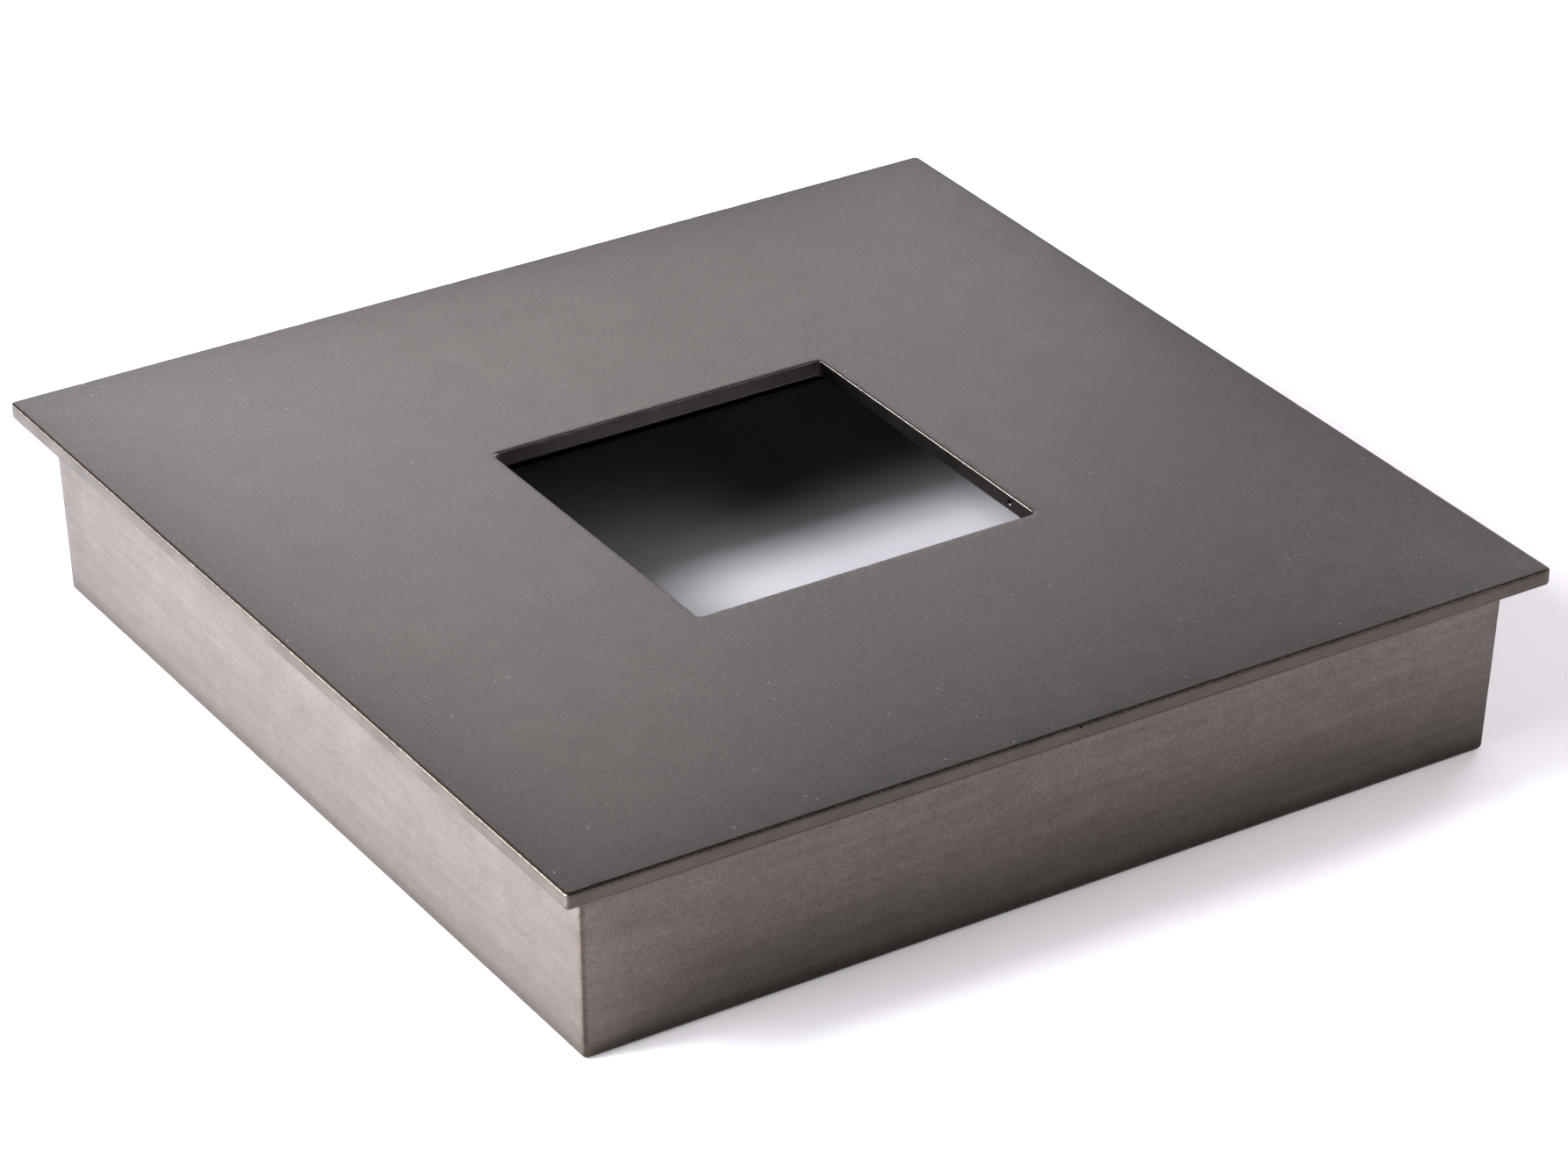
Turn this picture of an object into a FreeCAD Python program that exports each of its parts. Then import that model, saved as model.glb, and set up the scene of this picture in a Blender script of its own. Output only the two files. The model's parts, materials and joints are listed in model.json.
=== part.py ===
"""Square flanged cover of a bollard light: one flange plate with a square opening, carried by four
mitred, drafted skirt walls that corner blocks, weld studs, washers and nuts hold together.

Millimetres, +Z up. The origin is at the centre of the footprint, on the surface it stands on.
"""
import FreeCAD
import Part
import math
import os

# Driving dimensions
PLATE_WIDTH = 180.0
PLATE_THICKNESS = 3.0
TOTAL_HEIGHT = 34.2
APERTURE_WIDTH = 63.8
OVERHANG = 5.1
SKIRT_DRAFT_DEG = 2.0
WALL_THICKNESS = 3.0

# Rounded edges
PLATE_CORNER_RADIUS = 0.9
PLATE_ARRIS_RADIUS = 0.35
APERTURE_CORNER_RADIUS = 1.1
SKIRT_EDGE_RADIUS = 1.0

# Corner blocks, with the M5 hole that fastens the cover down and the hole for the plate's stud
BLOCK_WIDTH = 17.0
BLOCK_HEIGHT = 12.0
BLOCK_EDGE_CHAMFER = 2.0
MOUNT_HOLE_INSET = 5.1
MOUNT_HOLE_RADIUS = 2.1
MOUNT_HOLE_DEPTH = 10.0
STUD_HOLE_RADIUS = 2.25
STUD_INSET = 11.2

# M4 weld studs, washers and nuts
STUD_RADIUS = 2.0
STUD_LENGTH = 18.0
STUD_TIP_CHAMFER = 0.4
STUD_FLANGE_RADIUS = 2.2
STUD_FLANGE_HEIGHT = 0.7
WASHER_RADIUS = 4.0
WASHER_BORE_RADIUS = 2.15
WASHER_THICKNESS = 0.8
NUT_ACROSS_FLATS = 7.0
NUT_HEIGHT = 3.2
NUT_CHAMFER_ANGLE_DEG = 30.0

# Derived sizes
SKIRT_TOP = TOTAL_HEIGHT - PLATE_THICKNESS
DRAFT_RUN = SKIRT_TOP * math.tan(math.radians(SKIRT_DRAFT_DEG))
HALF_PLATE = PLATE_WIDTH / 2
HALF_SKIRT_TOP = HALF_PLATE - OVERHANG
HALF_SKIRT_FOOT = HALF_SKIRT_TOP - DRAFT_RUN
BLOCK_BOTTOM = SKIRT_TOP - BLOCK_HEIGHT
BLOCK_INNER = HALF_SKIRT_TOP - WALL_THICKNESS - BLOCK_WIDTH
MOUNT_HOLE_POS = BLOCK_INNER + MOUNT_HOLE_INSET
STUD_POS = BLOCK_INNER + STUD_INSET

UP = FreeCAD.Vector(0, 0, 1)
SIDES = {"skirt_right": 0, "skirt_rear": 90, "skirt_left": 180, "skirt_front": 270}
CORNERS = {
    "front_left": (-1, -1),
    "front_right": (1, -1),
    "rear_left": (-1, 1),
    "rear_right": (1, 1),
}


def square_face(half, z):
    """Square face of half-width half, centred on the Z axis."""
    corner = FreeCAD.Vector(-half, -half, z)
    return Part.makePlane(2 * half, 2 * half, corner, UP)


def frustum(half_foot, half_top, height):
    """Square frustum standing on the ground plane."""
    wires = [square_face(half_foot, 0).OuterWire, square_face(half_top, height).OuterWire]
    return Part.makeLoft(wires, True, True)


def upright_edges(shape, height):
    """The edges that run from the bottom of a shape to its top."""
    return [edge for edge in shape.Edges if edge.BoundBox.ZLength > 0.9 * height]


def outline_edges(shape, z):
    """The edges that lie in the level plane z."""
    tolerance = 1e-4
    return [edge for edge in shape.Edges
            if abs(edge.BoundBox.ZMin - z) < tolerance and abs(edge.BoundBox.ZMax - z) < tolerance]


def square_prism(width, z, height, corner_radius):
    """Square prism with rounded upright edges, centred on the Z axis."""
    prism = square_face(width / 2, z).extrude(UP * height)
    return prism.makeFillet(corner_radius, upright_edges(prism, height))


def flange_plate():
    """Flat plate with a square opening; every arris is broken by a small radius."""
    plate = square_prism(PLATE_WIDTH, SKIRT_TOP, PLATE_THICKNESS, PLATE_CORNER_RADIUS)
    opening = square_prism(APERTURE_WIDTH, SKIRT_TOP - 1, PLATE_THICKNESS + 2, APERTURE_CORNER_RADIUS)
    plate = plate.cut(opening)
    arrises = outline_edges(plate, SKIRT_TOP) + outline_edges(plate, TOTAL_HEIGHT)
    return plate.makeFillet(PLATE_ARRIS_RADIUS, arrises)


def skirt_ring():
    """The whole drafted skirt: rounded outside corners and foot, square inside."""
    outside = frustum(HALF_SKIRT_FOOT, HALF_SKIRT_TOP, SKIRT_TOP)
    rounded = upright_edges(outside, SKIRT_TOP) + outline_edges(outside, 0)
    outside = outside.makeFillet(SKIRT_EDGE_RADIUS, rounded)
    return outside.cut(skirt_hollow())


def skirt_hollow():
    """The space inside the skirt walls."""
    return frustum(HALF_SKIRT_FOOT - WALL_THICKNESS, HALF_SKIRT_TOP - WALL_THICKNESS, SKIRT_TOP)


def side_wedge(angle_deg):
    """Upright prism over the quarter of the footprint that faces angle_deg."""
    reach = PLATE_WIDTH
    points = [(0, 0), (reach, -reach), (reach, reach), (0, 0)]
    wire = Part.makePolygon([FreeCAD.Vector(x, y, -1) for x, y in points])
    wedge = Part.Face(wire).extrude(UP * (TOTAL_HEIGHT + 2))
    wedge.rotate(FreeCAD.Vector(0, 0, 0), UP, angle_deg)
    return wedge


def corner_block(sign_x, sign_y):
    """Block that fills the top of one inside corner of the skirt."""
    size = FreeCAD.Vector(BLOCK_WIDTH, BLOCK_WIDTH, BLOCK_HEIGHT)
    block = Part.makeBox(size.x, size.y, size.z, FreeCAD.Vector(BLOCK_INNER, BLOCK_INNER, BLOCK_BOTTOM))
    inner_edge = [edge for edge in upright_edges(block, BLOCK_HEIGHT)
                  if edge.BoundBox.XMax < BLOCK_INNER + 1 and edge.BoundBox.YMax < BLOCK_INNER + 1]
    block = block.makeChamfer(BLOCK_EDGE_CHAMFER, inner_edge)
    block = block.common(skirt_hollow())
    mount_hole = Part.makeCylinder(
        MOUNT_HOLE_RADIUS, MOUNT_HOLE_DEPTH, FreeCAD.Vector(MOUNT_HOLE_POS, MOUNT_HOLE_POS, BLOCK_BOTTOM), UP)
    stud_hole = Part.makeCylinder(
        STUD_HOLE_RADIUS, BLOCK_HEIGHT, FreeCAD.Vector(STUD_POS, STUD_POS, BLOCK_BOTTOM), UP)
    block = block.cut(mount_hole).cut(stud_hole)
    return to_corner(block, sign_x, sign_y)


def to_corner(shape, sign_x, sign_y):
    """Mirror a shape made in the rear right corner into another corner."""
    centre = FreeCAD.Vector(0, 0, 0)
    if sign_x < 0:
        shape = shape.mirror(centre, FreeCAD.Vector(1, 0, 0))
    if sign_y < 0:
        shape = shape.mirror(centre, FreeCAD.Vector(0, 1, 0))
    return shape


def plate_stud():
    """Weld stud hanging from the plate, with its weld flange and a chamfered tip."""
    top = FreeCAD.Vector(STUD_POS, STUD_POS, SKIRT_TOP)
    stud = Part.makeCylinder(STUD_RADIUS, STUD_LENGTH, top, -UP)
    stud = stud.makeChamfer(STUD_TIP_CHAMFER, outline_edges(stud, SKIRT_TOP - STUD_LENGTH))
    flange = Part.makeCylinder(STUD_FLANGE_RADIUS, STUD_FLANGE_HEIGHT, top, -UP)
    return stud.fuse(flange).removeSplitter()


def stud_washer():
    """Plain washer under the corner block."""
    top = FreeCAD.Vector(STUD_POS, STUD_POS, BLOCK_BOTTOM)
    disc = Part.makeCylinder(WASHER_RADIUS, WASHER_THICKNESS, top, -UP)
    return disc.cut(Part.makeCylinder(WASHER_BORE_RADIUS, WASHER_THICKNESS, top, -UP))


def stud_nut():
    """Hexagon nut under the washer, with its corners turned off at both ends."""
    half_flats = NUT_ACROSS_FLATS / 2
    half_corners = half_flats / math.cos(math.radians(30))
    bottom = BLOCK_BOTTOM - WASHER_THICKNESS - NUT_HEIGHT
    angles = [math.radians(60 * step + 15) for step in range(7)]
    outline = [FreeCAD.Vector(half_corners * math.cos(angle), half_corners * math.sin(angle), 0)
               for angle in angles]
    nut = Part.Face(Part.makePolygon(outline)).extrude(UP * NUT_HEIGHT)
    drop = (half_corners - half_flats) * math.tan(math.radians(NUT_CHAMFER_ANGLE_DEG))
    profile = [(0, 0), (half_flats, 0), (half_corners, drop), (half_corners, NUT_HEIGHT - drop),
               (half_flats, NUT_HEIGHT), (0, NUT_HEIGHT), (0, 0)]
    wire = Part.makePolygon([FreeCAD.Vector(r, 0, z) for r, z in profile])
    turned = Part.Face(wire).revolve(FreeCAD.Vector(0, 0, 0), UP, 360)
    nut = nut.common(turned)
    nut = nut.cut(Part.makeCylinder(STUD_RADIUS, NUT_HEIGHT))
    nut.translate(FreeCAD.Vector(STUD_POS, STUD_POS, bottom))
    return nut


def at_every_corner(shape):
    """Four separate copies of a rear right corner fastener, one for each corner."""
    return Part.makeCompound([to_corner(shape, *signs) for signs in CORNERS.values()])


def export(shape, node):
    """Write one node's STEP file."""
    assert shape.isValid(), node
    shape.exportStep("parts/" + node + ".step")


os.makedirs("parts", exist_ok=True)

export(flange_plate(), "flange_plate")

ring = skirt_ring()
for side, angle in SIDES.items():
    export(ring.common(side_wedge(angle)), side)

for corner, signs in CORNERS.items():
    export(corner_block(*signs), "corner_block_" + corner)

export(at_every_corner(plate_stud()), "plate_studs")
export(at_every_corner(stud_washer()), "stud_washers")
export(at_every_corner(stud_nut()), "stud_nuts")
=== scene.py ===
import bmesh
import bpy
import json
import math
import random
from mathutils import Matrix, Quaternion, Vector, noise


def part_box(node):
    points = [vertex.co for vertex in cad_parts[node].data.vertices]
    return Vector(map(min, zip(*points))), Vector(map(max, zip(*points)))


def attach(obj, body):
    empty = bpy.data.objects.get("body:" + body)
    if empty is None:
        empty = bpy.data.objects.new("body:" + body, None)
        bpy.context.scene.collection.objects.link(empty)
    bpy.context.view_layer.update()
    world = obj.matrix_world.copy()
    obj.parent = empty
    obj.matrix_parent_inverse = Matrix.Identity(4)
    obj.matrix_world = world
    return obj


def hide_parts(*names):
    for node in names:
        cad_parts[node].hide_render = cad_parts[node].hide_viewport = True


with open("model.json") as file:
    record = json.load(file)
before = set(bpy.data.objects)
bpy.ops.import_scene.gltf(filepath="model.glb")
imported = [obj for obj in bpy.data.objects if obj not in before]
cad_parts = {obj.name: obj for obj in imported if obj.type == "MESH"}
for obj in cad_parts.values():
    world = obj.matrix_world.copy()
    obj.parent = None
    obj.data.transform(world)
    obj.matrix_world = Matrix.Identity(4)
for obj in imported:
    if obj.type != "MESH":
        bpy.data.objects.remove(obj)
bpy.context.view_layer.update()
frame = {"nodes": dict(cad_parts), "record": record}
MM = 0.001

# Sizes read from the frame, in metres
PLATE_LOW, PLATE_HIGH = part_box("flange_plate")
HALF_PLATE = PLATE_HIGH.x
PLATE_TOP = PLATE_HIGH.z
PLATE_UNDERSIDE = PLATE_LOW.z
HALF_APERTURE = min(max(abs(v.co.x), abs(v.co.y)) for v in frame["nodes"]["flange_plate"].data.vertices)
HALF_SKIRT_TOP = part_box("skirt_right")[1].x
BLOCK_LOW, BLOCK_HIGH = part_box("corner_block_rear_right")
BLOCK_INNER = BLOCK_LOW.x
BLOCK_BOTTOM = BLOCK_LOW.z
HALF_SKIRT_INNER_TOP = BLOCK_HIGH.x
STUD_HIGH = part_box("plate_studs")[1]
STUD_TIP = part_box("plate_studs")[0].z
WASHER_LOW, WASHER_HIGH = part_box("stud_washers")
NUT_LOW, NUT_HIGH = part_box("stud_nuts")
SCREW_MOUNT = next(mount for mount in frame["record"]["mounts"] if mount["name"] == "cover_screws")
SCREW_HOLE_POS = SCREW_MOUNT["dims"]["spacing_x_mm"] / 2 * MM
SCREW_HOLE_RADIUS = SCREW_MOUNT["dims"]["hole_r_mm"] * MM

# Rounded edges of the cast plate and skirt
PLATE_CORNER_RADIUS = 0.9 * MM
PLATE_ARRIS = 0.35 * MM
PLATE_LOWER_ARRIS = 0.8 * MM
APERTURE_CORNER_RADIUS = 1.1 * MM
SKIRT_EDGE_RADIUS = 1.0 * MM
SKIRT_DRAFT_DEG = 2.0
INNER_FOOT_CHAMFER = 0.3 * MM
MITRE_GAP = 0.005 * MM

# Corner blocks
BLOCK_CHAMFER = 2.0 * MM
BLOCK_EDGE = 0.35 * MM
BLOCK_CLEARANCE = 0.02 * MM
SCREW_HOLE_DEPTH = 10.0 * MM
SCREW_PITCH = 0.8 * MM
SCREW_THREAD_DEPTH = 0.35 * MM
STUD_HOLE_RADIUS = 2.25 * MM
HOLE_LIP = 0.3 * MM
DRILL_POINT_DEG = 118.0
BLOCK_BEND_SHARE = 0.3

# Studs, washers and nuts
STUD_FLANGE_RADIUS = 2.2 * MM
STUD_FLANGE_HEIGHT = 0.7 * MM
STUD_RADIUS = 2.0 * MM
STUD_PITCH = 0.7 * MM
STUD_THREAD_DEPTH = 0.38 * MM
STUD_TIP_CHAMFER = 0.4 * MM
STUD_POS = STUD_HIGH.x - STUD_FLANGE_RADIUS
THREAD_CLEARANCE = 0.04 * MM
WASHER_BORE = 2.15 * MM
WASHER_EDGE = 0.15 * MM
NUT_HALF_FLATS = 3.5 * MM
NUT_TURN_DEG = 15.0
NUT_CHAMFER_DEG = 30.0
NUT_SHOULDER = 0.96 * NUT_HALF_FLATS
NUT_MOUTH = 0.2 * MM
THREAD_CREST = 0.12
THREAD_FLANK = 0.72

# Casting flaws: the few pits that are big enough to see, each with its radius
PITS = [
    (Vector((HALF_APERTURE, -24.6 * MM, PLATE_TOP - 1.4 * MM)), 0.55 * MM),
    (Vector((-67.2 * MM, -HALF_PLATE, PLATE_TOP - 0.9 * MM)), 0.25 * MM),
    (Vector((-0.4 * MM, -HALF_PLATE, PLATE_TOP - 0.5 * MM)), 0.3 * MM),
    (Vector((HALF_PLATE, 41.0 * MM, PLATE_TOP - 1.7 * MM)), 0.4 * MM),
    (Vector((22.0 * MM, HALF_PLATE, PLATE_TOP - 1.2 * MM)), 0.3 * MM),
]
PIT_DEPTH_RATIO = 0.8
PIT_SHADE_RISE = 0.32
WAVE_DEPTH = 0.03 * MM
WAVE_SIZE = 28.0 * MM

# Dents along the plate's upper arrises; they stay inside NICK_REACH of each half side
NICK_COUNT = 70
NICK_RADIUS_MM = (0.6, 1.4)
NICK_DEPTH_MM = (0.02, 0.06)
NICK_REACH = 0.97

# How worn the edges are, from 0 to 1; the same weights set how much painted shade the arrises get
ARRIS_EDGE_WEAR_AND_SHADE = 0.6
LOWER_ARRIS_WEAR_AND_SHADE = 0.1
APERTURE_WEAR_AND_SHADE = 0.15
FOOT_WEAR_AND_SHADE = 0.7
INNER_FOOT_WEAR_AND_SHADE = 0.3

# Where the plate's mesh has its rings, as shares of the way from its outer edge to the opening
TOP_RINGS = (0.004, 0.012, 0.03, 0.08, 0.16, 0.25, 0.36, 0.48, 0.6, 0.72, 0.83, 0.91, 0.96, 0.985)
UNDER_RINGS = (0.985, 0.95, 0.85, 0.7, 0.5, 0.3, 0.12, 0.03, 0.004)

# How finely each surface is divided
EDGE_ROWS = 16
LOWER_ARRIS_STEPS = 6
UPPER_ARRIS_STEPS = 5
PLATE_SPACING = 0.9 * MM
CLOSEST_STATIONS = 0.05 * MM
STATIONS_PER_PIT_SIDE = 5
STATIONS_PER_PIT_RADIUS = 4
WALL_STATIONS = 84
WALL_ROWS = 12
INNER_WALL_ROWS = 6
FOOT_STEPS = 7
BORE_STEPS = 40
STUD_STEPS = 28
WASHER_STEPS = 48
WASHER_EDGE_STEPS = 4
NUT_STEPS = 60
ROWS_PER_PITCH = 6

CORNERS = {
    "front_left": (-1, -1),
    "front_right": (1, -1),
    "rear_left": (-1, 1),
    "rear_right": (1, 1),
}
SIDE_TURNS = {"skirt_front": 0, "skirt_right": 90, "skirt_rear": 180, "skirt_left": 270}

# Camera: where the photographer stood, in metres
CAMERA_POSITION = Vector((-0.4444, -0.6999, 0.4803))
CAMERA_AIM = Vector((-0.0155, -0.0310, 0.0342))
CAMERA_ROLL_DEG = 0.24
CAMERA_LENS_MM = 134.13

# Patinated brass: colours, roughness, and how strongly each pattern shows
PATINA_DARK = (0.119, 0.108, 0.1035)
PATINA_LIGHT = (0.151, 0.137, 0.132)
PATINA_WARM = (0.148, 0.127, 0.116)
PATINA_ROUGH = 0.33
PLATE_ROUGH_SPREAD = 0.03
WALL_ROUGH_SPREAD = 0.008
ARRIS_ROUGHENING = 0.09
ARRIS_RUB = (0.30, 0.235, 0.175)
# Painted shade on the arrises: a dark colour that holds back the lamps' highlight on their rounded edges
ARRIS_PAINTED_SHADE = (0.036, 0.028, 0.022)
DUST = (0.33, 0.325, 0.32)
SPECK_SPACING = 11.0 * MM
SPECK_RADIUS = 0.15 * MM
FIBRE_SPACING = 9.0 * MM
FIBRE_RADIUS = 0.07 * MM
FIBRE_STRETCH = 4.5
FIBRES = ((-35.0, 0.3), (12.0, 0.15))
# Painted shade inside the pits: near black over the upper part of each
PIT_PAINTED_SHADE = (0.008, 0.008, 0.008)
RIM_REACH = 10.0 * MM
RIM_DARKENING = 0.24
GRAIN_CONTRAST = 0.22
WALL_GRAIN_CONTRAST = 0.18
WIPE_TURN_DEG = -32.7
WIPE_STRETCH = (2.2, 1.0, 1.0)
WALL_TINT = (1.02, 1.0, 0.965)
EDGE_TINT = (0.98, 0.945, 0.90)
# Painted light and shade on the skirt walls: their colour is lifted by a set level and painted darker
# towards the foot, where shade falls near the floor
WALL_PAINTED_LIGHT_LEVEL = 1.22
FOOT_SHADE_REACH = 7.0 * MM
FOOT_PAINTED_SHADE = 0.46
WALL_STREAK_STRETCH = (16.0, 16.0, 1.0)
PLATE_MOTTLE_SPREAD = 0.5
WALL_MOTTLE_SPREAD = 0.25
ARRIS_SHADE_COVER = 0.85
RUB_COVER = 0.12
EDGE_TINT_COVER = 0.8
PIT_SHADE_REACH = 0.15
DUST_LAYER = 0.2 * MM

# Unfinished casting inside the skirt
CAST_DARK = (0.055, 0.048, 0.042)
CAST_STAIN = (0.09, 0.075, 0.06)
CAST_GRIT = (0.15, 0.12, 0.09)

# Raw brass and stainless steel
BRASS_BRIGHT = (0.66, 0.46, 0.18)
BRASS_TARNISH = (0.36, 0.21, 0.08)
BRASS_MARKS = (0.8, 0.62, 0.3)
BLOCK_MARK_SIZE = 0.3 * MM
STUD_MARK_SIZE = 0.15 * MM
STEEL_PALE = (0.58, 0.57, 0.55)
STEEL_SPOT = (0.42, 0.40, 0.37)

# Floor
FLOOR_HALF = 3.0
FLOOR_COLOUR = (0.90, 0.88, 0.92)
FLOOR_ROUGH = 0.6
FLOOR_SHEEN = 0.2

# Soft boxes and cards. Each stands at a bearing, in degrees anticlockwise from the front as seen
# from above, at a height angle and a distance, and faces the middle of the object. The left strips
# stand lower than the plate's top, so that they light the left wall and not the top.
LIGHT_TARGET = Vector((0.0, 0.0, 0.03))
DAYLIGHT = (0.985, 0.985, 1.015)
SKYLIGHT = (0.93, 0.985, 0.983)
WHITE = (1.0, 0.99, 0.985)
WARM_WHITE = (1.0, 0.975, 0.97)
LIGHTS = [
    # name, bearing, height angle, distance, width, height, watts, colour
    ("key_softbox", 264, 44, 0.55, 0.17, 0.17, 2.98, DAYLIGHT),
    ("key_halo", 275, 35, 0.70, 0.30, 0.30, 2.95, DAYLIGHT),
    ("left_rear_strip", 246, -0.8, 0.95, 0.30, 0.028, 15.4, SKYLIGHT),
    ("left_strip", 273, -0.8, 0.95, 0.60, 0.028, 63.5, SKYLIGHT),
    ("left_front_strip", 300, -0.8, 0.95, 0.50, 0.028, 2.9, SKYLIGHT),
    ("left_rear_low_card", 228, 8, 0.95, 0.40, 0.28, 12.3, SKYLIGHT),
    ("front_low_card", 330, 14, 0.95, 0.60, 0.30, 0.9, WARM_WHITE),
    ("front_top_card", 20, 45, 0.95, 0.50, 0.50, 1.27, WHITE),
    ("front_right_top_card", 40, 60, 0.95, 0.50, 0.50, 0.54, WHITE),
    ("right_card", 60, 12, 0.95, 0.50, 0.40, 10.2, WARM_WHITE),
    ("right_rear_card", 115, 12, 0.95, 0.40, 0.40, 4.8, DAYLIGHT),
    ("rear_right_card", 135, 25, 0.95, 0.30, 0.30, 0.46, DAYLIGHT),
    ("rear_card", 160, 25, 0.95, 0.60, 0.30, 1.1, DAYLIGHT),
    ("rear_strip", 155, 32, 0.95, 0.20, 0.20, 0.31, DAYLIGHT),
    ("rear_low_card", 165, 14, 0.95, 0.20, 0.20, 0.65, DAYLIGHT),
    ("rear_left_top_card", 195, 45, 0.95, 0.40, 0.40, 0.6, DAYLIGHT),
]
VIEW_CONTRAST = 1.3

random.seed(7)


# ---------------------------------------------------------------- mesh helpers

def finish_mesh(bm, name, materials, sharp_deg=32.0):
    """Turn a bmesh into an object that is smooth except at its sharp edges."""
    bmesh.ops.remove_doubles(bm, verts=bm.verts, dist=0.002 * MM)
    bmesh.ops.recalc_face_normals(bm, faces=bm.faces)
    mesh = bpy.data.meshes.new(name)
    bm.to_mesh(mesh)
    bm.free()
    for polygon in mesh.polygons:
        polygon.use_smooth = True
    mesh.set_sharp_from_angle(angle=math.radians(sharp_deg))
    for material in materials:
        mesh.materials.append(material)
    piece = bpy.data.objects.new(name, mesh)
    bpy.context.scene.collection.objects.link(piece)
    return piece


def stand_in(piece, node):
    """The piece takes the place of a CAD node on the one body."""
    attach(piece, "root")
    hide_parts(node)


def add_loop(bm, points):
    return [bm.verts.new(point) for point in points]


def join_loops(bm, first, second, closed=True, material_index=0):
    """Quads between two loops with the same number of points."""
    count = len(first)
    for i in range(count if closed else count - 1):
        j = (i + 1) % count
        face = bm.faces.new((first[i], first[j], second[j], second[i]))
        face.material_index = material_index


def join_in_turn(bm, loops, ring=False):
    """Join each loop to the next, and in a ring the last one to the first."""
    following = loops[1:] + loops[:1] if ring else loops[1:]
    for first, second in zip(loops, following):
        join_loops(bm, first, second)


def mirror(bm, verts, signs):
    """Mirror vertices from the rear right corner into another corner."""
    bmesh.ops.transform(bm, matrix=Matrix.Diagonal((*signs, 1, 1)), verts=verts)


def arc(start_deg, end_deg, steps):
    """Angles in radians from start to end."""
    return [math.radians(start_deg + (end_deg - start_deg) * i / steps) for i in range(steps + 1)]


def full_turn(steps):
    return [2 * math.pi * i / steps for i in range(steps)]


def turned_points(centre, radii, turns, z):
    """Level loop of points at given radii and angles round a centre."""
    return [Vector((centre[0] + r * math.cos(turn), centre[1] + r * math.sin(turn), z))
            for r, turn in zip(radii, turns)]


def circle(centre, radius, z, count):
    return turned_points(centre, [radius] * count, full_turn(count), z)


# ---------------------------------------------------------------- cast surfaces

def station_fractions(side, half, spacing):
    """Places along one side of a square, from -1 to 1, closer together near each pit on it."""
    count = round(2 * half / spacing)
    stations = [-1 + 2 * i / count for i in range(count + 1)]
    turn = Matrix.Rotation(-side * math.pi / 2, 3, "Z")
    for pit, radius in PITS:
        local = turn @ pit
        if local.y > -HALF_APERTURE + MM or abs(local.x) > -local.y:
            continue
        middle = local.x / -local.y
        steps = range(-STATIONS_PER_PIT_SIDE, STATIONS_PER_PIT_SIDE + 1)
        step_size = radius / STATIONS_PER_PIT_RADIUS / -local.y
        stations += [middle + step * step_size for step in steps]
    stations.sort()
    gap = CLOSEST_STATIONS / half
    kept = [stations[0]]
    for station in stations[1:-1]:
        if station - kept[-1] > gap and stations[-1] - station > gap:
            kept.append(station)
    return kept + [stations[-1]]


def rounded_square(half, radius, z, sides, corner_steps=6):
    """Closed outline of a square with rounded corners; sides holds the stations of each side."""
    points = []
    for side, stations in enumerate(sides):
        turn = Matrix.Rotation(side * math.pi / 2, 3, "Z")
        straight = half - radius
        local = [Vector((station * straight, -half, z)) for station in stations]
        for angle in arc(-90, 0, corner_steps)[1:-1]:
            x = straight + radius * math.cos(angle)
            y = -straight + radius * math.sin(angle)
            local.append(Vector((x, y, z)))
        points += [turn @ point for point in local]
    return points


def edge_profile(lower_arris, wear_and_shade):
    """(inset, z, arris) up an edge of the plate; arris says how worn each height is, and how much painted
    shade it gets.
    """
    lower = PLATE_UNDERSIDE + lower_arris
    upper = PLATE_TOP - PLATE_ARRIS
    edge = []
    for a in arc(90, 0, LOWER_ARRIS_STEPS):
        inset = lower_arris * (1 - math.cos(a))
        edge.append((inset, lower - lower_arris * math.sin(a), LOWER_ARRIS_WEAR_AND_SHADE * wear_and_shade))
    edge += [(0.0, lower + (upper - lower) * i / EDGE_ROWS, 0.0) for i in range(1, EDGE_ROWS)]
    for a in arc(0, 90, UPPER_ARRIS_STEPS):
        middle = 0 < math.sin(a) < 0.99
        arris_weight = 1.0 if middle else ARRIS_EDGE_WEAR_AND_SHADE
        edge.append((PLATE_ARRIS * (1 - math.cos(a)), upper + PLATE_ARRIS * math.sin(a), arris_weight * wear_and_shade))
    return edge


def plate_profile():
    """(place, inset, z, arris) round the plate's cross-section, from its outer edge to the opening.

    Place 0 is the outer edge and 1 the opening; inset is measured from either into the metal."""
    profile = [(0.0, inset, z, arris) for inset, z, arris in edge_profile(PLATE_LOWER_ARRIS, 1.0)]
    profile += [(place, PLATE_ARRIS, PLATE_TOP, 0.0) for place in TOP_RINGS]
    opening = edge_profile(PLATE_ARRIS, APERTURE_WEAR_AND_SHADE)
    profile += [(1.0, inset, z, arris) for inset, z, arris in reversed(opening)]
    for place in UNDER_RINGS:
        inset = PLATE_LOWER_ARRIS + (PLATE_ARRIS - PLATE_LOWER_ARRIS) * place
        profile.append((place, inset, PLATE_UNDERSIDE, 0.0))
    return profile


def plate_outline(place, inset, z, sides):
    outer_half = HALF_PLATE - inset
    inner_half = HALF_APERTURE + inset
    outer_radius = PLATE_CORNER_RADIUS - inset
    inner_radius = APERTURE_CORNER_RADIUS + inset
    half = outer_half + (inner_half - outer_half) * place
    radius = outer_radius + (inner_radius - outer_radius) * place
    return rounded_square(half, radius, z, sides)


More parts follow.
